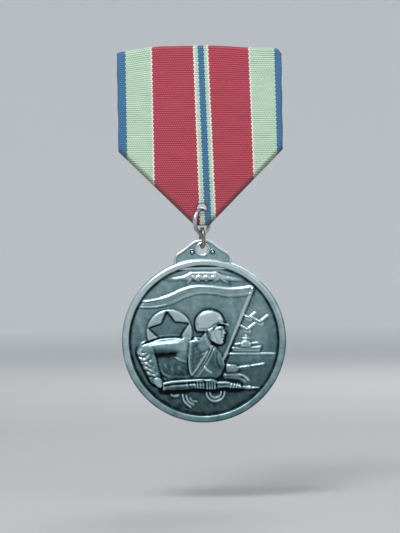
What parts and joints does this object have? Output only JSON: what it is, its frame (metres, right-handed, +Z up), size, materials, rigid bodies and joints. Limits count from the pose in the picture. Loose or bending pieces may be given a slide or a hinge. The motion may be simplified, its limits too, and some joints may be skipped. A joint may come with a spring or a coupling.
{
  "type": "military service medal",
  "caption": "Round struck service medal hung by wire rings from a pentagonal striped ribbon mount with a hinged brooch needle and catch hook behind.",
  "frame": {"origin": "on the axis of the brooch needle, at the middle of its straight shank", "axes": "+Z up as worn, front faces -Y, +X along the needle towards its point, to the right seen from the front"},
  "size_m": [0.033, 0.007, 0.0757],
  "materials": {
    "ribbon_cloth": "ribbed woven ribbon, red with pale green, white and blue stripes",
    "plate_steel": "dull nickel plate",
    "fitting_steel": "satin nickel plate",
    "needle_steel": "drawn and polished wire",
    "ring_wire": "worn nickel plate, dark inside",
    "disc_silver": "antique silver with blackened recesses"
  },
  "bodies": {
    "mount": {"ribbon": "ribbon_cloth", "backing_plate": "plate_steel", "rear_plate": "plate_steel", "plate_rivets": "fitting_steel", "hinge_bracket": "fitting_steel", "hinge_rivet": "fitting_steel", "catch_hook": "fitting_steel"},
    "needle": {"brooch_needle": "needle_steel"},
    "top_ring": {"upper_ring": "ring_wire"},
    "bottom_ring": {"lower_ring": "ring_wire"},
    "medal": {"medal_disc": "disc_silver"}
  },
  "joints": [
    {"name": "needle_swing", "type": "hinge", "parent": "mount", "child": "needle", "pos_m": [-0.0115, 0, 0], "axis": [0, 0.5736, 0.8192], "range_deg": [0, 95]},
    {"name": "top_ring_rock", "type": "hinge", "parent": "mount", "child": "top_ring", "pos_m": [0, -0.00305, -0.02395], "axis": [1, 0, 0], "range_deg": [-10, 10]},
    {"name": "bottom_ring_sway", "type": "hinge", "parent": "top_ring", "child": "bottom_ring", "pos_m": [0, -0.00305, -0.02885], "axis": [0.5878, 0.809, 0], "range_deg": [-30, 30]},
    {"name": "medal_swing", "type": "hinge", "parent": "bottom_ring", "child": "medal", "pos_m": [0, -0.00305, -0.02965], "axis": [0.9903, 0.1392, 0], "range_deg": [-60, 60]}
  ]
}
